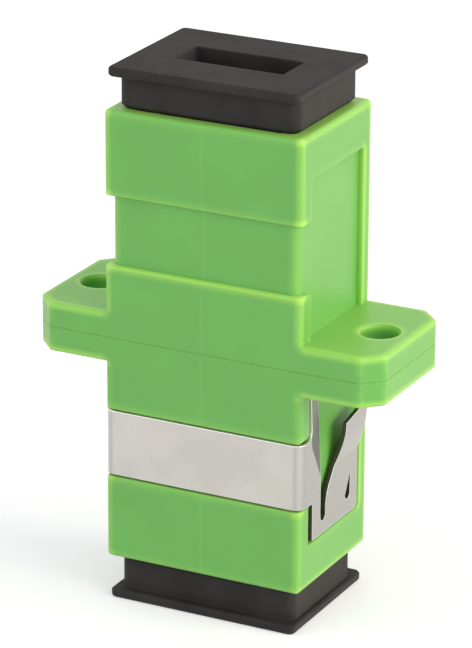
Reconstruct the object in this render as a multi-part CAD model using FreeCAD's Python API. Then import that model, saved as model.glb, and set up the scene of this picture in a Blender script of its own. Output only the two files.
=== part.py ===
import FreeCAD, Part
import math
import os

# SC simplex fibre adapter with flange, panel clip and two dust caps.
# Millimetres. The origin is on the optical axis at the flange's weld plane.
# +Z is the way the upper plug comes out, X runs across the flange's ears,
# and the clip's band lies across the -Y face.

V = FreeCAD.Vector

# Housing: two mirrored halves, welded face to face at z = 0
narrow_wall = 1.875
wide_wall = 0.875
half_length = 14.0
body_corner = 0.3
end_round = 0.25
weld_chamfer = 0.03

# Flange, half of its thickness in each housing half
flange_length = 22.6
flange_half_thickness = 1.55
flange_corner = 1.15
flange_corner_round = 0.35
flange_round = 0.2
hole_end_distance = 2.05
hole_radius = 1.15
hole_rim = 0.12

# Recesses in the outer faces of each half
panel_top = 4.5
collar_bottom = 8.8
front_recess_depth = 0.3
side_recess_depth = 0.35
side_recess_top = 11.3
corner_post_width = 1.35
rear_rim_width = 1.05
recess_rim = 0.06
recess_corner_round = 0.5
post_corner_round = 0.35

# Port for the plug, with its key slot and the grooves behind the latch arms
port_width = 9.05
port_depth = 7.45
port_lead_in = 0.2
key_slot_width = 2.3
key_slot_depth = 0.3
key_slot_length = 10.0
arm_groove_depth = 0.45
arm_groove_length = 9.6

# Latch holders, one in each half, back to back at z = 0
holder_plate_width = 9.9
holder_plate_depth = 8.0
holder_plate_thickness = 1.2
holder_corner = 0.3
holder_clearance = 0.05
tube_radius = 2.3
tube_length = 6.4
tube_lip = 0.5
tube_mouth_radius = 1.35
tube_mouth_chamfer = 0.3
arm_length = 7.4
arm_thickness = 0.7
arm_width = 3.0
arm_wall_gap = 0.25
arm_root_round = 0.4
arm_flex_room = 0.2
hook_reach = 0.65
hook_land = 0.35
hook_ramp = 1.0

# Split alignment sleeve
sleeve_outer_radius = 1.6
sleeve_inner_radius = 1.25
sleeve_length = 11.4
sleeve_slit = 0.4
sleeve_radial_clearance = 0.08

# Panel clip, one folded sheet
clip_sheet = 0.25
clip_bend_inner_radius = 0.4
clip_band_clearance = 0.12
clip_side_gap = 0.25
clip_plate_front_gap = 0.16
clip_plate_rear_gap = 0.59
clip_plate_bottom_gap = 0.24
clip_flange_gap = 0.3
clip_strip_reach = 0.65
clip_inner_corner_round = 0.6
clip_outer_corner_round = 0.3
tongue_width = 1.1
tongue_lean = 5.0
fold_front_reach = 0.25
fold_top_drop = 0.37
fold_drop = 2.55
slot_width = 0.65
slot_height = 0.8
slot_straight = 0.6
wing_bend_height = 3.77
wing_edge_run = 1.15
wing_tip_run = 0.35
wing_lean = 17.0
wing_straight = 1.3
wing_curl_radius = 5.0
wing_tip = 0.5
wing_tip_slope = 0.18
tear_length = 1.65
tear_radius = 0.32
tear_inset = 1.3
tear_height = 1.27
tear_slant = 0.35

# Dust caps
cap_lip_width = 12.3
cap_lip_depth = 9.45
cap_lip_thickness = 0.58
cap_lip_corner = 0.4
cap_lip_round = 0.2
cap_lip_under = 0.12
cap_head_width = 11.6
cap_head_depth = 8.2
cap_head_height = 2.04
cap_head_corner = 0.8
cap_head_relief = 0.25
cap_pocket_width = 7.1
cap_pocket_depth = 2.8
cap_pocket_corner = 0.2
cap_pocket_floor = 0.9
cap_shank_length = 4.6
cap_shank_wall = 0.8
cap_rib_thickness = 0.9
cap_rib_spacing = 5.2
cap_port_clearance = 0.08
cap_shank_chamfer = 0.4

# How far a cutting tool runs past the surface that it opens, and the slack in a comparison of sizes
overcut = 1.0
nearly = 1e-4

# Sizes that follow from the ones above
body_width = port_width + 2 * narrow_wall
body_depth = port_depth + 2 * wide_wall
hole_spacing = flange_length - 2 * hole_end_distance
side_floor = body_width / 2 - side_recess_depth
front_floor = body_depth / 2 - front_recess_depth
recess_front = -body_depth / 2 + corner_post_width
recess_rear = body_depth / 2 - rear_rim_width
arm_outer = port_width / 2 - arm_wall_gap
sleeve_bore = sleeve_outer_radius + sleeve_radial_clearance


def polygon_prism(points, direction):
    """A prism on a closed outline of corner points."""
    wire = Part.makePolygon(points + points[:1])
    return Part.Face(wire).extrude(direction)


def centred_block(size_x, size_y, z_from, z_to):
    return Part.makeBox(size_x, size_y, z_to - z_from, V(-size_x / 2, -size_y / 2, z_from))


def upright_edges(shape):
    return [edge for edge in shape.Edges
            if edge.BoundBox.XLength < nearly and edge.BoundBox.YLength < nearly]


def rounded_block(size_x, size_y, corner, z_from, z_to):
    block = centred_block(size_x, size_y, z_from, z_to)
    return block.makeFillet(corner, upright_edges(block))


def edges_at_height(shape, z):
    return [edge for edge in shape.Edges
            if abs(edge.BoundBox.ZMin - z) < nearly and abs(edge.BoundBox.ZMax - z) < nearly]


def flange_plate():
    """Half of the flange: a plate with chamfered, softened corners and a softened rim."""
    x = flange_length / 2
    y = body_depth / 2
    cut = flange_corner
    points = [V(-x, -y + cut, 0), V(-x + cut, -y, 0), V(x - cut, -y, 0), V(x, -y + cut, 0),
              V(x, y - cut, 0), V(x - cut, y, 0), V(-x + cut, y, 0), V(-x, y - cut, 0)]
    plate = polygon_prism(points, V(0, 0, flange_half_thickness))
    plate = plate.makeFillet(flange_corner_round, upright_edges(plate))
    return plate.makeFillet(flange_round, edges_at_height(plate, flange_half_thickness))


def band_channel():
    """What the clip's band lies in: a belt round the front face and both front corners."""
    height = collar_bottom - panel_top
    outside = Part.makeBox(2 * body_width, body_depth, height,
                           V(-body_width, recess_front + overcut - body_depth, panel_top))
    core = Part.makeBox(2 * side_floor, 2 * body_depth, height, V(-side_floor, -front_floor, panel_top))
    core = core.makeFillet(recess_corner_round, upright_edges(core))
    return outside.cut(core)


def side_recess(side):
    """The shallow recess of a narrow face, between the front posts and the rear rim."""
    depth = side_recess_depth + overcut
    x = side_floor if side > 0 else -side_floor - depth
    height = side_recess_top - flange_half_thickness
    return Part.makeBox(depth, recess_rear - recess_front, height, V(x, recess_front, flange_half_thickness))


def recess_rims(body):
    """The outer edges round the recesses, on the front face and on both narrow faces."""
    found = []
    for edge in body.Edges:
        box = edge.BoundBox
        low_enough = box.ZMax < side_recess_top + nearly
        high_enough = box.ZMin > nearly
        on_side = box.XMax > body_width / 2 - nearly or box.XMin < -body_width / 2 + nearly
        across = box.YMax < recess_rear + nearly
        upright = box.ZLength > nearly and box.YLength < nearly
        on_front = box.YMin < -body_depth / 2 + nearly
        if low_enough and high_enough and across and (on_side or on_front):
            if not (upright and box.YMin < recess_front - nearly):
                found.append(edge)
    return found


def port():
    """The plug's way in, its key slot, and the grooves that let the latch arms spread."""
    seat = holder_plate_thickness
    opening = centred_block(port_width, port_depth, seat, half_length)
    key = Part.makeBox(key_slot_width, key_slot_depth + overcut, key_slot_length,
                       V(-key_slot_width / 2, port_depth / 2 - overcut, half_length - key_slot_length))
    grooves = centred_block(port_width + 2 * arm_groove_depth, arm_width + 2 * arm_flex_room,
                            seat, arm_groove_length)
    seat_pocket = centred_block(holder_plate_width + 2 * holder_clearance,
                                holder_plate_depth + 2 * holder_clearance, 0, seat)
    return opening.fuse([key, grooves, seat_pocket])


def screw_hole(x):
    """A flange hole with its rim softened at the seating face."""
    hole = Part.makeCylinder(hole_radius, flange_half_thickness, V(x, 0, 0))
    rim = Part.makeCone(hole_radius, hole_radius + hole_rim, hole_rim,
                        V(x, 0, flange_half_thickness - hole_rim))
    return hole.fuse(rim)


def post_corners(body):
    """Where the front panel's end meets the side recess, at each front corner."""
    return [edge for edge in edges_at_height(body, panel_top)
            if edge.BoundBox.YLength < nearly and abs(edge.BoundBox.YMin - recess_front) < nearly]


def housing_half():
    body = rounded_block(body_width, body_depth, body_corner, 0, half_length)
    body = body.makeFillet(end_round, edges_at_height(body, half_length))
    body = body.cut([band_channel(), side_recess(1), side_recess(-1)]).removeSplitter()
    body = body.makeFillet(post_corner_round, post_corners(body))
    body = body.makeChamfer(recess_rim, recess_rims(body))
    half = body.fuse(flange_plate()).removeSplitter()
    half = half.makeChamfer(weld_chamfer, edges_at_height(half, 0))
    holes = [screw_hole(side * hole_spacing / 2) for side in (1, -1)]
    half = half.cut([port()] + holes)
    mouth = [edge for edge in edges_at_height(half, half_length)
             if edge.BoundBox.XLength < port_width + nearly and edge.BoundBox.YLength < port_depth + nearly]
    return half.makeChamfer(port_lead_in, mouth)


def latch_arm():
    """A hooked arm on the +X side, drawn from the side and given its width along Y."""
    inner = arm_outer - arm_thickness
    root = holder_plate_thickness
    tip = root + arm_length
    hook = inner - hook_reach
    points = [V(arm_outer, 0, root), V(arm_outer, 0, tip), V(inner, 0, tip),
              V(hook, 0, tip - hook_ramp), V(hook, 0, tip - hook_ramp - hook_land),
              V(inner, 0, tip - hook_ramp - hook_land), V(inner, 0, root)]
    arm = polygon_prism(points, V(0, arm_width, 0))
    arm.translate(V(0, -arm_width / 2, 0))
    return arm


def latch_holder():
    """Back plate, sleeve tube and two hooked arms, moulded in one."""
    plate = rounded_block(holder_plate_width, holder_plate_depth, holder_corner, 0, holder_plate_thickness)
    tube = Part.makeCylinder(tube_radius, tube_length)
    tube = tube.makeChamfer(tube_mouth_chamfer, edges_at_height(tube, tube_length))
    arm = latch_arm()
    holder = plate.fuse([tube, arm, arm.mirror(V(0, 0, 0), V(1, 0, 0))]).removeSplitter()
    roots = [edge for edge in edges_at_height(holder, holder_plate_thickness)
             if edge.BoundBox.XLength < nearly and abs(abs(edge.BoundBox.XMin) - arm_outer + arm_thickness) < nearly]
    holder = holder.makeFillet(arm_root_round, roots)
    bore = Part.makeCylinder(sleeve_bore, tube_length - tube_lip)
    mouth = Part.makeCylinder(tube_mouth_radius, tube_length)
    flare = Part.makeCone(tube_mouth_radius, tube_mouth_radius + tube_mouth_chamfer, tube_mouth_chamfer,
                          V(0, 0, tube_length - tube_mouth_chamfer))
    return holder.cut([bore, mouth, flare])


def alignment_sleeve():
    start = V(0, 0, -sleeve_length / 2)
    sleeve = Part.makeCylinder(sleeve_outer_radius, sleeve_length, start)
    sleeve = sleeve.cut(Part.makeCylinder(sleeve_inner_radius, sleeve_length, start))
    slit = Part.makeBox(sleeve_slit, 2 * sleeve_outer_radius, sleeve_length,
                        V(-sleeve_slit / 2, 0, -sleeve_length / 2))
    return sleeve.cut(slit)


def arc(start, middle, end):
    return Part.Arc(start, middle, end).toShape()


def line(start, end):
    return Part.LineSegment(start, end).toShape()


# The clip lies in the lower half, so its heights are negative
clip_outer = side_floor + clip_side_gap + clip_sheet
clip_inner = clip_outer - clip_sheet
band_top = -panel_top - clip_band_clearance
band_bottom = -collar_bottom + clip_band_clearance
plate_front = recess_front + clip_plate_front_gap
plate_rear = recess_rear - clip_plate_rear_gap
plate_bottom = -side_recess_top + clip_plate_bottom_gap
tongue_top = -flange_half_thickness - clip_flange_gap
slot_left = plate_front + tongue_width
slot_right = slot_left + slot_width
slot_bottom = plate_bottom + slot_height
wing_bend = plate_bottom + wing_bend_height


def clip_band():
    """The band round the front face, with its two corner bends."""
    height = band_top - band_bottom
    outer_front = front_floor + clip_sheet
    outer = Part.makeBox(2 * clip_outer, body_depth, height, V(-clip_outer, -outer_front, band_bottom))
    outer = outer.makeFillet(clip_bend_inner_radius + clip_sheet, upright_edges(outer))
    inner = Part.makeBox(2 * clip_inner, body_depth, height, V(-clip_inner, -front_floor, band_bottom))
    inner = inner.makeFillet(clip_bend_inner_radius, upright_edges(inner))
    rear = Part.makeBox(4 * clip_outer, 2 * body_depth, height,
                        V(-2 * clip_outer, plate_front - clip_strip_reach, band_bottom))
    return outer.cut([inner, rear])


def edges_through(sheet, y, z):
    """The edge that runs through the sheet's thickness at a corner of its outline."""
    return [edge for edge in sheet.Edges
            if edge.BoundBox.XLength > clip_sheet / 2
            and abs(edge.BoundBox.YMin - y) < nearly and abs(edge.BoundBox.ZMin - z) < nearly]


def front_sheet():
    """The flat of the side plate up to the slot: it carries the band and runs up as the tongue."""
    strip_front = plate_front - clip_strip_reach
    plate = Part.makeBox(clip_sheet, slot_left - plate_front, tongue_top - plate_bottom,
                         V(clip_inner, plate_front, plate_bottom))
    strip = Part.makeBox(clip_sheet, clip_strip_reach, band_top - band_bottom,
                         V(clip_inner, strip_front, band_bottom))
    sheet = plate.fuse(strip).removeSplitter()
    sheet = sheet.makeFillet(clip_inner_corner_round, edges_through(sheet, plate_front, band_top))
    return sheet.makeFillet(clip_outer_corner_round, edges_through(sheet, plate_front, tongue_top))


def leaned_tongue(sheet):
    """Leans the tongue in towards the housing about a slanting fold."""
    fold_high = V(clip_outer, plate_front - fold_front_reach, band_top - fold_top_drop)
    fold_low = V(clip_outer, slot_left, fold_high.z - fold_drop)
    along = fold_high - fold_low
    across = V(0, along.z, -along.y)
    zone_reach = clip_outer
    end_low = fold_low - along * zone_reach
    end_high = fold_high + along * zone_reach
    zone = polygon_prism([end_low, end_high, end_high + across * zone_reach, end_low + across * zone_reach],
                         V(2 * clip_sheet, 0, 0))
    zone.translate(V(-1.5 * clip_sheet, 0, 0))
    tongue = sheet.common(zone)
    tongue.rotate(fold_low, along, tongue_lean)
    return sheet.cut(zone).fuse(tongue)


def wing_profile():
    """Side view of the sheet: flat plate, outward lean, curl back to upright."""
    lean = math.radians(wing_lean)
    slope = V(math.sin(lean), 0, math.cos(lean))
    inward = V(-math.cos(lean), 0, math.sin(lean))
    bend = V(clip_outer, slot_left, wing_bend)
    curl = bend + slope * wing_straight
    centre = curl + inward * wing_curl_radius
    half_turn = V(math.cos(lean / 2), 0, -math.sin(lean / 2))
    upright = V(0, 0, wing_tip)
    outer_end = centre + V(wing_curl_radius, 0, 0)
    inner_radius = wing_curl_radius - clip_sheet
    inner_end = centre + V(inner_radius, 0, 0)
    inner_bend = bend + V(-clip_sheet, 0, clip_sheet * math.tan(lean / 2))
    foot = V(clip_outer, slot_left, plate_bottom)
    inner_foot = foot - V(clip_sheet, 0, 0)
    edges = [line(foot, bend), line(bend, curl),
             arc(curl, centre + half_turn * wing_curl_radius, outer_end),
             line(outer_end, outer_end + upright), line(outer_end + upright, inner_end + upright),
             line(inner_end + upright, inner_end),
             arc(inner_end, centre + half_turn * inner_radius, curl + inward * clip_sheet),
             line(curl + inward * clip_sheet, inner_bend), line(inner_bend, inner_foot),
             line(inner_foot, foot)]
    return Part.Face(Part.Wire(edges))


def wing_window():
    """Everything the side view shows open between the tongue and the wing, and above the wing."""
    x = clip_inner - overcut
    tip_height = wing_profile().BoundBox.ZMax
    low_left = V(x, slot_left, slot_bottom + slot_width / 2)
    low_right = V(x, slot_right, slot_bottom + slot_width / 2)
    mouth = V(x, slot_right, slot_bottom + slot_straight)
    at_bend = V(x, slot_right + wing_edge_run, wing_bend)
    tip_front = V(x, at_bend.y + wing_tip_run, tip_height - wing_tip_slope * (plate_rear - at_bend.y))
    past_rear = V(x, plate_rear + overcut, tip_height + wing_tip_slope * overcut)
    past_corner = V(x, plate_rear + overcut, tip_height + overcut)
    past_front = V(x, slot_left, tip_height + overcut)
    edge_curve = Part.BSplineCurve()
    edge_curve.interpolate([mouth, at_bend, tip_front], InitialTangent=V(0, 0, 1), FinalTangent=V(0, 0, 1))
    outline = [arc(low_left, V(x, (slot_left + slot_right) / 2, slot_bottom), low_right),
               line(low_right, mouth), edge_curve.toShape(), line(tip_front, past_rear),
               line(past_rear, past_corner), line(past_corner, past_front), line(past_front, low_left)]
    return Part.Face(Part.Wire(outline)).extrude(V(clip_sheet + 3 * overcut, 0, 0))


def teardrop():
    """The small drop-shaped hole beside the wing's root, round below and pointed above."""
    x = clip_inner - overcut
    centre = V(x, plate_rear - tear_inset, plate_bottom + tear_height)
    point = centre + V(0, tear_slant, tear_length - tear_radius)
    left = centre + V(0, -tear_radius, 0)
    right = centre + V(0, tear_radius, 0)
    outline = [arc(left, centre - V(0, 0, tear_radius), right), line(right, point), line(point, left)]
    return Part.Face(Part.Wire(outline)).extrude(V(clip_sheet + 2 * overcut, 0, 0))


def side_plate():
    wing = wing_profile().extrude(V(0, plate_rear - slot_left, 0))
    wing = wing.makeFillet(clip_outer_corner_round, edges_through(wing, plate_rear, plate_bottom))
    wing = wing.cut([wing_window(), teardrop()])
    return leaned_tongue(front_sheet()).fuse(wing)


def panel_clip():
    plate = side_plate()
    other = plate.mirror(V(0, 0, 0), V(1, 0, 0))
    return clip_band().fuse([plate, other]).removeSplitter()


def dust_cap():
    """Lip, head and ribbed shank of the upper cap, with the deep pocket in its outer face."""
    seat = half_length
    head_top = seat + cap_head_height
    top = head_top + cap_lip_thickness
    head = rounded_block(cap_head_width, cap_head_depth, cap_head_corner, seat, head_top)
    head = head.makeChamfer(cap_head_relief, edges_at_height(head, seat))
    lip = rounded_block(cap_lip_width, cap_lip_depth, cap_lip_corner, head_top, top)
    lip = lip.makeFillet(cap_lip_round, edges_at_height(lip, top))
    lip = lip.makeChamfer(cap_lip_under, edges_at_height(lip, head_top))
    shank_end = seat - cap_shank_length
    core = rounded_block(cap_pocket_width + 2 * cap_shank_wall, cap_pocket_depth + 2 * cap_shank_wall,
                         cap_pocket_corner + cap_shank_wall, shank_end, seat + cap_head_relief)
    fit_width = port_width - 2 * cap_port_clearance
    fit_depth = port_depth - 2 * cap_port_clearance
    ribs = [Part.makeBox(cap_rib_thickness, fit_depth, cap_shank_length + cap_head_relief,
                         V(side * cap_rib_spacing / 2 - cap_rib_thickness / 2, -fit_depth / 2, shank_end))
            for side in (-1, 1)]
    rail = Part.makeBox(fit_width, cap_rib_thickness, cap_shank_length + cap_head_relief,
                        V(-fit_width / 2, -cap_rib_thickness / 2, shank_end))
    shank = core.fuse(ribs + [rail])
    lead = centred_block(fit_width, fit_depth, shank_end, seat + cap_head_relief)
    lead = lead.makeChamfer(cap_shank_chamfer, edges_at_height(lead, shank_end))
    pocket = rounded_block(cap_pocket_width, cap_pocket_depth, cap_pocket_corner,
                           shank_end + cap_pocket_floor, top)
    return head.fuse([lip, shank.common(lead)]).removeSplitter().cut(pocket)


def to_lower(shape):
    return shape.mirror(V(0, 0, 0), V(0, 0, 1))


def main():
    housing = housing_half()
    holder = latch_holder()
    cap = dust_cap()
    nodes = {
        "housing_upper": housing,
        "housing_lower": to_lower(housing),
        "latch_holder_upper": holder,
        "latch_holder_lower": to_lower(holder),
        "alignment_sleeve": alignment_sleeve(),
        "panel_clip": panel_clip(),
        "dust_cap_upper": cap,
        "dust_cap_lower": to_lower(cap),
    }
    os.makedirs("parts", exist_ok=True)
    for name, shape in nodes.items():
        solid = shape.Solids[0]
        print(name, "solids", len(shape.Solids), "valid", shape.isValid(), "volume", round(solid.Volume, 3))
        shape.exportStep("parts/" + name + ".step")


main()
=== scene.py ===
import math

import bpy
from mathutils import Matrix, Vector


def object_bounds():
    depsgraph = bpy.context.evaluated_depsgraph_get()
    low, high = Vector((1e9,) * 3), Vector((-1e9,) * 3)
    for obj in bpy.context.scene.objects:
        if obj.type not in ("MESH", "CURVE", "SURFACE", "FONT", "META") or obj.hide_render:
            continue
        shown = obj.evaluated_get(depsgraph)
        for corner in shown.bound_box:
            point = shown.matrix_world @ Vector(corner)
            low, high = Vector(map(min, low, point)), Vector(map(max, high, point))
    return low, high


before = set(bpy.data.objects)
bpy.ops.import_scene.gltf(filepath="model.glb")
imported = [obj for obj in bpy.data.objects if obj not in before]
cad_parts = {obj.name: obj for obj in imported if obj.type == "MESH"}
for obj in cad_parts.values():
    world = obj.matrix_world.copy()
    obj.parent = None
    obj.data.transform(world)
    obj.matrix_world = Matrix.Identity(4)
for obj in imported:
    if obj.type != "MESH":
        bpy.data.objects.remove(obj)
cad_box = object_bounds()

# Flanged SC fibre adapter, standing on its lower dust cap on a white table.
# Metres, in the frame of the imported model: +Z out of the upper port, the clip's band on -Y.
MM = 0.001

# Camera: a long lens from the front right, a little above
VIEW_AZIMUTH = 27.05
VIEW_ELEVATION = 20.37
VIEW_ROLL = 0.29
VIEW_DISTANCE = 230.4 * MM
VIEW_LENS = 216.57
AIM_RIGHT = -0.089 * MM
AIM_UP = 0.377 * MM
FILM_WIDTH = 36
VIEW_NEAR = 5 * MM
VIEW_FAR = 20.0

# Studio. The lamps are name, azimuth, elevation, distance, watts and colour.
TABLE_SIZE = 4.0
TABLE_HEIGHT = cad_box[0][2]
TABLE_WHITE = (0.775, 0.785, 0.815, 1)
TABLE_LIFT = 0.34
AMBIENT_LIGHT = 0.6
BACKGROUND_LIGHT = 1.0
SOFTBOX_SIZE = 0.9
LAMPS = (
    ("right_softbox", 90, 15, 0.9, 10.5, (1.0, 0.89, 0.74)),
    ("left_softbox", -60, 15, 1.0, 3.6, (1.0, 1.0, 1.0)),
    ("front_softbox", 10, 30, 1.2, 1.6, (1.0, 1.0, 1.0)),
)

# Colours of the finishes, linear
GREEN = (0.128, 0.440, 0.085, 1)
# The next is painted light, the glow of light through the plastic's thin edges; it also tints the
# witness line.
GREEN_GLOW = (0.39, 0.76, 0.115, 1)
# The next is painted light: a greener tone on the upward faces.
GREEN_PAINTED_TOP_LIGHT = (0.15, 0.72, 0.03, 1)
GREEN_SHEEN = (1.0, 0.78, 0.34, 1)
BLACK = (0.0275, 0.0255, 0.0255, 1)
# The next is wear on the rubbed edges and painted light on the caps' narrow faces.
BLACK_WORN_AND_LIT = (0.05, 0.047, 0.046, 1)
STEEL = (0.56, 0.54, 0.505, 1)
# The next is a painted highlight, on the burrs and on some sheared faces.
STEEL_BURR_HIGHLIGHT = (0.95, 0.94, 0.90, 1)
# The next is the sheared faces' dull grey, darkened further with painted shade.
STEEL_CUT_DULL_AND_SHADED = (0.11, 0.10, 0.085, 1)
# The next two are the tongues' painted shade and painted reflection of the green above them.
STEEL_SHADED = (0.13, 0.13, 0.105, 1)
STEEL_GREEN_REFLECTION = (0.19, 0.215, 0.155, 1)
NATURAL = (0.72, 0.70, 0.62, 1)
CERAMIC = (0.85, 0.85, 0.83, 1)

# How strongly the green's edges glow with painted light, and how far in from an edge
GLOW_DEPTH = 0.55 * MM
GLOW_STRENGTH = 2.3
GLOW_WELD_SHARE = 0.5
GLOW_LOST_AT_RECESS = 0.8
GLOW_LOST_WHERE_DIM = 0.65
GLOW_LOST_LOW_DOWN = 0.5

# How far each smaller mark changes the finish under it; the upward-face, narrow-face and bend
# marks are painted light and shade
WITNESS_TINT = 0.07
WITNESS_HEIGHT = 0.5
UPWARD_PAINTED_LIGHT = 0.25
NARROW_FACE_PAINTED_LIGHT = 0.6
MOULD_LINE_WEAR = 0.3
BEND_PAINTED_SHADE = 0.9
STEEL_ROUGHNESS = 0.2
ROLLED_ROUGHNESS = 0.12
CUT_ROUGHNESS = 0.25

# Eased steps in the adapter's own coordinates: where a change starts and where it is complete
WITNESS_EDGE = (0.0, 0.22 * MM)
PORT_EDGE = (13.25 * MM, 13.7 * MM)
NEAR_CORNER = (5.75 * MM, 6.1 * MM)
BEHIND_FRONT = (-3.6 * MM, -3.3 * MM)
ABOVE_LOW_PART = (-8.9 * MM, -8.7 * MM)
ON_SIDE_PLATE = (6.27 * MM, 6.28 * MM)
PAST_FOLD = (0.0, 0.35 * MM)
UP_THE_TONGUE = (-6.0 * MM, -2.6 * MM)
# The next two bound the painted highlight on the sheared faces.
BRIGHT_CUT_ABOVE = (-5.4 * MM, -5.2 * MM)
BRIGHT_CUT_ENDS = (-3.0 * MM, -2.9 * MM)
BEHIND_BAND = (-3.3 * MM, -3.2 * MM)
ABOVE_LOWER_EDGE = (-8.2 * MM, -8.0 * MM)

# Spans in the same coordinates: from and to
COLLAR_EDGE = (8.7 * MM, 9.4 * MM)
UNDER_FLANGE = (-4.6 * MM, -1.9 * MM)
RECESS_FACE = (6.1 * MM, 6.5 * MM)
RECESS_ACROSS = (-3.8 * MM, 3.3 * MM)
RECESS_ALONG = (1.8 * MM, 12.2 * MM)
CAP_MOULD_LINE = (-0.62 * MM, -0.54 * MM)
TONGUE_ACROSS = (-3.2 * MM, -1.97 * MM)

# The tongues' slanting fold, as a line across the side plate
FOLD_SLOPE = 1.889
FOLD_REACH = 11.3 * MM

# Eased steps in how squarely a surface faces a way: 0 is edge-on, 1 is straight
WIDE_FACE = (0.8, 0.95)
NARROW_FACE = (0.9, 0.99)
UPWARD_FACE = (0.6, 0.95)
LEVEL_CUT = (0.5, 0.65)
SIDEWAYS_CUT = (0.35, 0.5)
BEND_STARTS = (0.01, 0.25)
BEND_ENDS = (0.3, 0.65)
PLATE_FACE = (0.6, 1.0)

# Eased steps in a noise, and in how open the air in front of a surface is
TONE_STEP = (0.3, 0.7)
RUB_STEP = (0.2, 0.8)
TEAR_STEP = (0.15, 0.5)
OPEN_STEP = (0.6, 0.95)
OPEN_AIR_REACH = 0.3 * MM
EDGE_SAMPLES = 12
OPEN_SAMPLES = 8
THIN_SAMPLES = 16


def place_camera():
    azimuth = math.radians(VIEW_AZIMUTH)
    elevation = math.radians(VIEW_ELEVATION)
    roll = math.radians(VIEW_ROLL)
    back = Vector((math.sin(azimuth) * math.cos(elevation),
                   -math.cos(azimuth) * math.cos(elevation),
                   math.sin(elevation)))
    level_right = Vector((math.cos(azimuth), math.sin(azimuth), 0))
    level_up = back.cross(level_right)
    right = level_right * math.cos(roll) + level_up * math.sin(roll)
    up = level_up * math.cos(roll) - level_right * math.sin(roll)
    place = right * AIM_RIGHT + up * AIM_UP + back * VIEW_DISTANCE
    data = bpy.data.cameras.new("camera")
    data.lens = VIEW_LENS
    data.sensor_width = FILM_WIDTH
    data.clip_start = VIEW_NEAR
    data.clip_end = VIEW_FAR
    camera = bpy.data.objects.new("camera", data)
    camera.matrix_world = Matrix((
        (right.x, up.x, back.x, place.x),
        (right.y, up.y, back.y, place.y),
        (right.z, up.z, back.z, place.z),
        (0, 0, 0, 1)))
    bpy.context.scene.collection.objects.link(camera)
    bpy.context.scene.camera = camera


def softbox(name, azimuth, elevation, distance, power, colour):
    """A square lamp that faces the adapter. Azimuth 0 is in front, 90 on the +X side."""
    azimuth = math.radians(azimuth)
    elevation = math.radians(elevation)
    away = Vector((math.sin(azimuth) * math.cos(elevation),
                   -math.cos(azimuth) * math.cos(elevation),
                   math.sin(elevation)))
    data = bpy.data.lights.new(name, "AREA")
    data.shape = "SQUARE"
    data.size = SOFTBOX_SIZE
    data.energy = power
    data.color = colour
    lamp = bpy.data.objects.new(name, data)
    facing = away.to_track_quat("Z", "Y").to_matrix().to_4x4()
    lamp.matrix_world = Matrix.Translation(away * distance) @ facing
    bpy.context.scene.collection.objects.link(lamp)


def maths(tree, operation, first, second=None, third=None, clamp=False):
    """A maths node on sockets or plain numbers; returns its output."""
    node = tree.nodes.new("ShaderNodeMath")
    node.operation = operation
    node.use_clamp = clamp
    for slot, value in enumerate((first, second, third)):
        if value is None:
            continue
        if isinstance(value, (int, float)):
            node.inputs[slot].default_value = value
        else:
            tree.links.new(value, node.inputs[slot])
    return node.outputs[0]


def product(tree, first, *others):
    """Sockets or plain numbers multiplied together."""
    for other in others:
        first = maths(tree, "MULTIPLY", first, other)
    return first


def greater(tree, first, second):
    """The greater of two sockets."""
    return maths(tree, "MAXIMUM", first, second)


def opposite(tree, mask):
    """0 where the mask is 1, and 1 where it is 0."""
    return maths(tree, "SUBTRACT", 1.0, mask)


def magnitude(tree, value):
    """The value without its sign, so that both sides of the adapter count alike."""
    return maths(tree, "ABSOLUTE", value)


def is_seen_ray(tree):
    """1 for camera, glossy and transmission rays, which see the plain white studio."""
    path = tree.nodes.new("ShaderNodeLightPath").outputs
    camera_or_glossy = greater(tree, path["Is Camera Ray"], path["Is Glossy Ray"])
    return greater(tree, camera_or_glossy, path["Is Transmission Ray"])


def light_world():
    world = bpy.data.worlds.new("studio")
    world.use_nodes = True
    tree = world.node_tree
    tree.nodes.clear()
    mix = tree.nodes.new("ShaderNodeMixShader")
    tree.links.new(is_seen_ray(tree), mix.inputs["Fac"])
    for slot, strength in ((1, AMBIENT_LIGHT), (2, BACKGROUND_LIGHT)):
        light = tree.nodes.new("ShaderNodeBackground")
        light.inputs["Color"].default_value = (1, 1, 1, 1)
        light.inputs["Strength"].default_value = strength
        tree.links.new(light.outputs[0], mix.inputs[slot])
    output = tree.nodes.new("ShaderNodeOutputWorld")
    tree.links.new(mix.outputs[0], output.inputs["Surface"])
    bpy.context.scene.world = world


def lay_table():
    """A white table that keeps the adapter's soft shadow, lifted to nearly white where seen."""
    bpy.ops.mesh.primitive_plane_add(size=TABLE_SIZE, location=(0, 0, TABLE_HEIGHT))
    table = bpy.context.object
    table.name = "table"
    material = bpy.data.materials.new("white_table")
    material.use_nodes = True
    tree = material.node_tree
    tree.nodes.clear()
    diffuse = tree.nodes.new("ShaderNodeBsdfDiffuse")
    diffuse.inputs["Color"].default_value = TABLE_WHITE
    glow = tree.nodes.new("ShaderNodeEmission")
    glow.inputs["Color"].default_value = (1, 1, 1, 1)
    tree.links.new(product(tree, is_seen_ray(tree), TABLE_LIFT), glow.inputs["Strength"])
    both = tree.nodes.new("ShaderNodeAddShader")
    tree.links.new(diffuse.outputs[0], both.inputs[0])
    tree.links.new(glow.outputs[0], both.inputs[1])
    output = tree.nodes.new("ShaderNodeOutputMaterial")
    tree.links.new(both.outputs[0], output.inputs["Surface"])
    table.data.materials.append(material)


def new_group(name, inputs, outputs):
    """A shader node group with named float inputs and outputs, and its two end nodes."""
    group = bpy.data.node_groups.new(name, "ShaderNodeTree")
    for label, value in inputs:
        socket = group.interface.new_socket(name=label, in_out="INPUT",
                                            socket_type="NodeSocketFloat")
        socket.default_value = value
    for label, kind in outputs:
        group.interface.new_socket(name=label, in_out="OUTPUT", socket_type=kind)
    return group, group.nodes.new("NodeGroupInput"), group.nodes.new("NodeGroupOutput")


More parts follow.
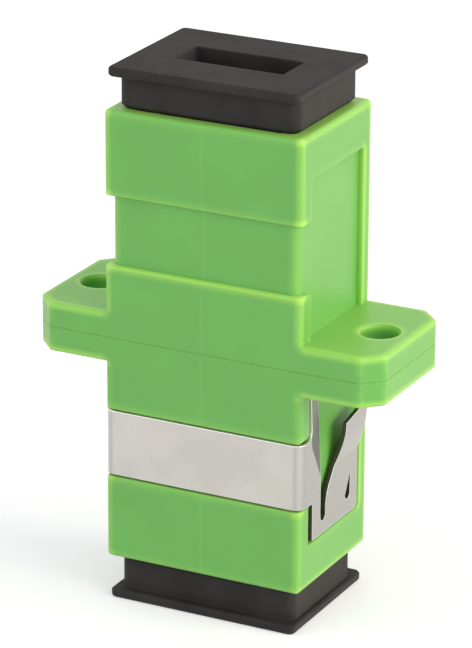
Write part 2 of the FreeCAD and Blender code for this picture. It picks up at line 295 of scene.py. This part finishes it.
def eased(tree, value, step):
    """0 until the value reaches the step's start, 1 from its end on, and smooth between."""
    node = tree.nodes.new("ShaderNodeMapRange")
    node.interpolation_type = "SMOOTHSTEP"
    node.inputs["From Min"].default_value = step[0]
    node.inputs["From Max"].default_value = step[1]
    tree.links.new(value, node.inputs["Value"])
    return node.outputs["Result"]


def between(tree, value, span, ease):
    """1 inside the span, easing to 0 outside it."""
    low, high = span
    return product(tree, eased(tree, value, (low - ease, low)),
                   opposite(tree, eased(tree, value, (high, high + ease))))


def object_noise(tree, scale, detail=2.0, roughness=0.5, stretch=(1, 1, 1)):
    """Noise in the adapter's own coordinates, with the scale in cycles per metre."""
    where = tree.nodes.new("ShaderNodeTexCoord")
    mapping = tree.nodes.new("ShaderNodeMapping")
    mapping.inputs["Scale"].default_value = stretch
    tree.links.new(where.outputs["Object"], mapping.inputs["Vector"])
    noise = tree.nodes.new("ShaderNodeTexNoise")
    noise.inputs["Scale"].default_value = scale
    noise.inputs["Detail"].default_value = detail
    noise.inputs["Roughness"].default_value = roughness
    tree.links.new(mapping.outputs["Vector"], noise.inputs["Vector"])
    return noise.outputs["Fac"]


def edge_group():
    """Rim marks every edge and Edge those that stand free: 0 on a flat, 1 on the edge.
    Normal rounds them off."""
    group, start, end = new_group("edge_light", [("Radius", 0.1 * MM), ("Reach", 0.3)],
                                  [("Edge", "NodeSocketFloat"), ("Rim", "NodeSocketFloat"),
                                   ("Normal", "NodeSocketVector")])
    bevel = group.nodes.new("ShaderNodeBevel")
    bevel.samples = EDGE_SAMPLES
    group.links.new(start.outputs["Radius"], bevel.inputs["Radius"])
    surface = group.nodes.new("ShaderNodeNewGeometry")
    turn = group.nodes.new("ShaderNodeVectorMath")
    turn.operation = "DOT_PRODUCT"
    group.links.new(bevel.outputs["Normal"], turn.inputs[0])
    group.links.new(surface.outputs["Normal"], turn.inputs[1])
    away = opposite(group, turn.outputs["Value"])
    edge = maths(group, "DIVIDE", away, start.outputs["Reach"], clamp=True)
    open_air = group.nodes.new("ShaderNodeAmbientOcclusion")
    open_air.samples = OPEN_SAMPLES
    open_air.inputs["Distance"].default_value = OPEN_AIR_REACH
    outer = eased(group, open_air.outputs["AO"], OPEN_STEP)
    group.links.new(product(group, edge, outer), end.inputs["Edge"])
    group.links.new(edge, end.inputs["Rim"])
    group.links.new(bevel.outputs["Normal"], end.inputs["Normal"])
    return group


def thin_group():
    """How little plastic lies behind the surface: 0 on a thick wall, about half on a brink."""
    group, start, end = new_group("thin_light", [("Depth", 0.5 * MM)],
                                  [("Thin", "NodeSocketFloat")])
    behind = group.nodes.new("ShaderNodeAmbientOcclusion")
    behind.samples = THIN_SAMPLES
    behind.inside = True
    behind.only_local = True
    group.links.new(start.outputs["Depth"], behind.inputs["Distance"])
    group.links.new(opposite(group, behind.outputs["AO"]), end.inputs["Thin"])
    return group


def grain_group():
    """The fine texture of a moulded surface, and slow changes of tone across it."""
    group, start, end = new_group("moulded_grain", [("Grain", 9000.0), ("Tone", 260.0)],
                                  [("Height", "NodeSocketFloat"), ("Tone", "NodeSocketFloat")])
    where = group.nodes.new("ShaderNodeTexCoord")
    for label, detail in (("Grain", 3.0), ("Tone", 2.0)):
        noise = group.nodes.new("ShaderNodeTexNoise")
        noise.inputs["Detail"].default_value = detail
        group.links.new(where.outputs["Object"], noise.inputs["Vector"])
        group.links.new(start.outputs[label], noise.inputs["Scale"])
        target = "Height" if label == "Grain" else "Tone"
        group.links.new(noise.outputs["Fac"], end.inputs[target])
    return group


def place_group(tree, group, **values):
    """A group's node in a material, with its inputs set."""
    node = tree.nodes.new("ShaderNodeGroup")
    node.node_tree = group
    for label, value in values.items():
        node.inputs[label].default_value = value
    return node


def blend_colour(tree, factor, first, second):
    """Mixes two colours, each a plain colour or a socket, by a factor socket."""
    node = tree.nodes.new("ShaderNodeMix")
    node.data_type = "RGBA"
    tree.links.new(factor, node.inputs["Factor"])
    for slot, value in ((6, first), (7, second)):
        if isinstance(value, tuple):
            node.inputs[slot].default_value = value
        else:
            tree.links.new(value, node.inputs[slot])
    return node.outputs[2]


def new_material(name):
    """A material, its node tree and its surface shader."""
    material = bpy.data.materials.new(name)
    material.use_nodes = True
    return material, material.node_tree, material.node_tree.nodes["Principled BSDF"]


def bump(tree, height, strength, distance, normal=None):
    """Turns a height into a surface normal, on top of another normal if there is one."""
    node = tree.nodes.new("ShaderNodeBump")
    node.inputs["Strength"].default_value = strength
    node.inputs["Distance"].default_value = distance
    tree.links.new(height, node.inputs["Height"])
    if normal is not None:
        tree.links.new(normal, node.inputs["Normal"])
    return node.outputs["Normal"]


EDGE = edge_group()
THIN = thin_group()
GRAIN = grain_group()


def shade(colour, factor):
    """A colour made darker or lighter."""
    return tuple(channel * factor for channel in colour[:3]) + (1,)


def split_axes(tree, coordinates):
    where = tree.nodes.new("ShaderNodeTexCoord")
    axes = tree.nodes.new("ShaderNodeSeparateXYZ")
    tree.links.new(where.outputs[coordinates], axes.inputs[0])
    return axes.outputs


def place_on_adapter(tree):
    """The adapter's own X, Y and Z."""
    return split_axes(tree, "Object")


def facing_on_adapter(tree):
    """The surface normal along the adapter's own X, Y and Z."""
    return split_axes(tree, "Normal")


def witness_line(tree):
    """The faint upright flow line in the middle of the wide faces."""
    off_centre = magnitude(tree, place_on_adapter(tree)["X"])
    wide_face = eased(tree, magnitude(tree, facing_on_adapter(tree)["Y"]), WIDE_FACE)
    return product(tree, opposite(tree, eased(tree, off_centre, WITNESS_EDGE)), wide_face)


def weld_share(tree):
    """What the halves' mating faces add to the thinness, though the weld has closed them."""
    height = magnitude(tree, place_on_adapter(tree)["Z"])
    near = maths(tree, "SUBTRACT", 1.0, maths(tree, "DIVIDE", height, GLOW_DEPTH), clamp=True)
    return product(tree, near, GLOW_WELD_SHARE)


def side_recess_rim(tree):
    """1 round the shallow recesses of the narrow faces, whose low steps glow little."""
    place = place_on_adapter(tree)
    return product(tree, between(tree, magnitude(tree, place["X"]), RECESS_FACE, 0.1 * MM),
                   between(tree, place["Y"], RECESS_ACROSS, 0.15 * MM),
                   between(tree, magnitude(tree, place["Z"]), RECESS_ALONG, 0.15 * MM))


def dim_stretches(tree):
    """1 where the front's edges glow less: round the ports and below the collars away from the
    corners, and all along under the flange, which is painted shade. Low down they lose only a
    share."""
    place = place_on_adapter(tree)
    height = magnitude(tree, place["Z"])
    front = opposite(tree, eased(tree, place["Y"], BEHIND_FRONT))
    level_edges = greater(tree, eased(tree, height, PORT_EDGE),
                          between(tree, height, COLLAR_EDGE, 0.1 * MM))
    off_corner = opposite(tree, eased(tree, magnitude(tree, place["X"]), NEAR_CORNER))
    low_down = opposite(tree, eased(tree, place["Z"], ABOVE_LOW_PART))
    # Painted shade: less glow all along under the flange
    shaded = greater(tree, between(tree, place["Z"], UNDER_FLANGE, 0.1 * MM),
                     product(tree, low_down, GLOW_LOST_LOW_DOWN))
    return product(tree, front, greater(tree, product(tree, level_edges, off_corner), shaded))


def edge_glow(tree, thin):
    """How far the green turns to its painted glow: strongest on open outer edges."""
    open_edge = maths(tree, "SUBTRACT", thin, weld_share(tree))
    glow = maths(tree, "MULTIPLY", open_edge, GLOW_STRENGTH, clamp=True)
    past_recess = maths(tree, "MULTIPLY_ADD", side_recess_rim(tree), -GLOW_LOST_AT_RECESS, 1.0)
    past_dim = maths(tree, "MULTIPLY_ADD", dim_stretches(tree), -GLOW_LOST_WHERE_DIM, 1.0)
    return product(tree, glow, past_recess, past_dim)


def green_plastic():
    """Satin moulded green with light glowing through its edges, painted into its colour."""
    material, tree, surface = new_material("green_plastic")
    edge = place_group(tree, EDGE, Radius=0.1 * MM, Reach=0.3)
    thin = place_group(tree, THIN, Depth=GLOW_DEPTH)
    grain = place_group(tree, GRAIN, Grain=9000.0, Tone=260.0)
    toned = blend_colour(tree, eased(tree, grain.outputs["Tone"], TONE_STEP),
                         shade(GREEN, 0.97), shade(GREEN, 1.03))
    witness = witness_line(tree)
    lined = blend_colour(tree, product(tree, witness, WITNESS_TINT), toned, GREEN_GLOW)
    # Painted light: the upward faces turn greener.
    upward = eased(tree, facing_on_adapter(tree)["Z"], UPWARD_FACE)
    top_lit = blend_colour(tree, product(tree, upward, UPWARD_PAINTED_LIGHT), lined, GREEN_PAINTED_TOP_LIGHT)
    glowing = blend_colour(tree, edge_glow(tree, thin.outputs["Thin"]), top_lit, GREEN_GLOW)
    tree.links.new(glowing, surface.inputs["Base Color"])
    surface.inputs["Roughness"].default_value = 0.38
    surface.inputs["Sheen Weight"].default_value = 0.3
    surface.inputs["Sheen Roughness"].default_value = 0.5
    surface.inputs["Sheen Tint"].default_value = GREEN_SHEEN
    surface.inputs["Subsurface Weight"].default_value = 0.25
    surface.inputs["Subsurface Radius"].default_value = (0.7, 1.0, 0.25)
    surface.inputs["Subsurface Scale"].default_value = 0.5 * MM
    height = maths(tree, "MULTIPLY_ADD", witness, WITNESS_HEIGHT, grain.outputs["Height"])
    relief = bump(tree, height, 0.12, 0.02 * MM, edge.outputs["Normal"])
    tree.links.new(relief, surface.inputs["Normal"])
    return material


def black_plastic():
    """Soft black of the pull-off caps: greyer on rubbed edges, and on the narrow faces as painted
    light; the narrow faces carry a faint mould line."""
    material, tree, surface = new_material("black_cap_plastic")
    edge = place_group(tree, EDGE, Radius=0.16 * MM, Reach=0.3)
    grain = place_group(tree, GRAIN, Grain=7000.0, Tone=400.0)
    tone = grain.outputs["Tone"]
    toned = blend_colour(tree, eased(tree, tone, TONE_STEP), shade(BLACK, 0.85), shade(BLACK, 1.2))
    rubbed = product(tree, edge.outputs["Edge"], eased(tree, tone, RUB_STEP))
    narrow_face = eased(tree, magnitude(tree, facing_on_adapter(tree)["X"]), NARROW_FACE)
    depth = place_on_adapter(tree)["Y"]
    mould_line = product(tree, narrow_face, between(tree, depth, CAP_MOULD_LINE, 0.05 * MM),
                         MOULD_LINE_WEAR)
    # Wear on the rubbed edges, and painted light on the narrow faces
    worn_and_lit = greater(tree, rubbed,
                   maths(tree, "MULTIPLY_ADD", narrow_face, NARROW_FACE_PAINTED_LIGHT, mould_line))
    tree.links.new(blend_colour(tree, worn_and_lit, toned, BLACK_WORN_AND_LIT), surface.inputs["Base Color"])
    surface.inputs["Roughness"].default_value = 0.66
    surface.inputs["Specular IOR Level"].default_value = 0.16
    relief = bump(tree, grain.outputs["Height"], 0.15, 0.02 * MM, edge.outputs["Normal"])
    tree.links.new(relief, surface.inputs["Normal"])
    return material


def cut_faces(tree):
    """1 on the sheet's sheared faces: those that face up or down, and the upright ones of the
    side plates."""
    facing = facing_on_adapter(tree)
    level = eased(tree, magnitude(tree, facing["Z"]), LEVEL_CUT)
    on_side_plate = eased(tree, magnitude(tree, place_on_adapter(tree)["X"]), ON_SIDE_PLATE)
    across = opposite(tree, eased(tree, magnitude(tree, facing["X"]), SIDEWAYS_CUT))
    return greater(tree, level, product(tree, on_side_plate, across))


def tongue_share(tree):
    """1 on the clip's tongues, above the slanting folds at which they lean in."""
    place = place_on_adapter(tree)
    slanted = maths(tree, "MULTIPLY_ADD", place["Y"], FOLD_SLOPE, place["Z"])
    above_fold = maths(tree, "ADD", slanted, FOLD_REACH)
    return product(tree, eased(tree, above_fold, PAST_FOLD),
                   between(tree, place["Y"], TONGUE_ACROSS, 0.02 * MM))


def sheet_tone(tree, rolled):
    """The sheet's colour, with painted shade: a darker line along the bends, darker side plates,
    and tongues toned down as if they leaned further in than their solid does, with a painted
    reflection of the green above them."""
    sideways = magnitude(tree, facing_on_adapter(tree)["X"])
    bend = product(tree, eased(tree, sideways, BEND_STARTS),
                   opposite(tree, eased(tree, sideways, BEND_ENDS)), BEND_PAINTED_SHADE)
    # Painted shade: the side plates and the bends darker
    plain = blend_colour(tree, eased(tree, sideways, PLATE_FACE), rolled, shade(STEEL, 0.83))
    bent = blend_colour(tree, bend, plain, shade(STEEL, 0.82))
    # Painted shade and a painted reflection of the green on the tongues
    up_tongue = eased(tree, place_on_adapter(tree)["Z"], UP_THE_TONGUE)
    leaned = blend_colour(tree, up_tongue, STEEL_SHADED, STEEL_GREEN_REFLECTION)
    return blend_colour(tree, tongue_share(tree), bent, leaned)


def cut_tone(tree):
    """The sheared faces' colour: dull and dark, partly their finish and partly painted shade, with
    a painted highlight on the band's top and up the tongues' fronts.
    """
    place = place_on_adapter(tree)
    bright = product(tree, eased(tree, place["Z"], BRIGHT_CUT_ABOVE),
                     opposite(tree, eased(tree, place["Y"], BRIGHT_CUT_ENDS)))
    return blend_colour(tree, bright, STEEL_CUT_DULL_AND_SHADED, shade(STEEL_BURR_HIGHLIGHT, 0.85))


def burr_highlight_line(tree, rim, cut):
    """A torn painted highlight along the burrs round the sheet's flat faces, left off on the
    band's lower edge.
    """
    place = place_on_adapter(tree)
    torn = object_noise(tree, scale=9000, detail=3.0, roughness=0.6)
    off_lower_edge = greater(tree, eased(tree, place["Y"], BEHIND_BAND),
                             eased(tree, place["Z"], ABOVE_LOWER_EDGE))
    return product(tree, rim, opposite(tree, cut), off_lower_edge, eased(tree, torn, TEAR_STEP))


def clip_steel():
    """Rolled stainless sheet: faint rolling lines, dull sheared faces with painted shade, and
    painted highlights on the burrs.
    """
    material, tree, surface = new_material("clip_steel")
    edge = place_group(tree, EDGE, Radius=0.06 * MM, Reach=0.25)
    burr_edge = place_group(tree, EDGE, Radius=0.12 * MM, Reach=0.08)
    rolled = object_noise(tree, scale=3000, detail=3.0, roughness=0.6, stretch=(0.12, 0.12, 1.0))
    cloudy = object_noise(tree, scale=350)
    toned = blend_colour(tree, eased(tree, cloudy, TONE_STEP),
                         shade(STEEL, 0.95), shade(STEEL, 1.04))
    cut = cut_faces(tree)
    dulled = blend_colour(tree, cut, sheet_tone(tree, toned), cut_tone(tree))
    # Painted highlight along the burrs
    burr = burr_highlight_line(tree, burr_edge.outputs["Rim"], cut)
    tree.links.new(blend_colour(tree, burr, dulled, STEEL_BURR_HIGHLIGHT), surface.inputs["Base Color"])
    surface.inputs["Metallic"].default_value = 1.0
    flat_rough = maths(tree, "MULTIPLY_ADD", rolled, ROLLED_ROUGHNESS, STEEL_ROUGHNESS)
    rough = maths(tree, "MULTIPLY_ADD", cut, CUT_ROUGHNESS, flat_rough)
    tree.links.new(rough, surface.inputs["Roughness"])
    relief = bump(tree, rolled, 0.08, 0.01 * MM, edge.outputs["Normal"])
    tree.links.new(relief, surface.inputs["Normal"])
    return material


def natural_plastic():
    """Undyed moulded plastic of the latch holders."""
    material, tree, surface = new_material("natural_plastic")
    grain = place_group(tree, GRAIN, Grain=8000.0, Tone=500.0)
    toned = blend_colour(tree, grain.outputs["Tone"], shade(NATURAL, 0.94), shade(NATURAL, 1.04))
    tree.links.new(toned, surface.inputs["Base Color"])
    surface.inputs["Roughness"].default_value = 0.45
    relief = bump(tree, grain.outputs["Height"], 0.1, 0.02 * MM)
    tree.links.new(relief, surface.inputs["Normal"])
    return material


def polished_ceramic():
    """White ground ceramic of the alignment sleeve."""
    material, tree, surface = new_material("polished_ceramic")
    toned = blend_colour(tree, object_noise(tree, scale=900), shade(CERAMIC, 0.95), CERAMIC)
    tree.links.new(toned, surface.inputs["Base Color"])
    surface.inputs["Roughness"].default_value = 0.12
    surface.inputs["Coat Weight"].default_value = 0.3
    return material


def dress(material, *nodes):
    """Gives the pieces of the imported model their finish."""
    for name in nodes:
        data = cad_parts[name].data
        data.materials.clear()
        data.materials.append(material)


place_camera()
light_world()
lay_table()
for lamp in LAMPS:
    softbox(*lamp)
dress(green_plastic(), "housing_upper", "housing_lower")
dress(black_plastic(), "dust_cap_upper", "dust_cap_lower")
dress(clip_steel(), "panel_clip")
dress(natural_plastic(), "latch_holder_upper", "latch_holder_lower")
dress(polished_ceramic(), "alignment_sleeve")

bpy.context.scene.view_settings.view_transform = "Standard"
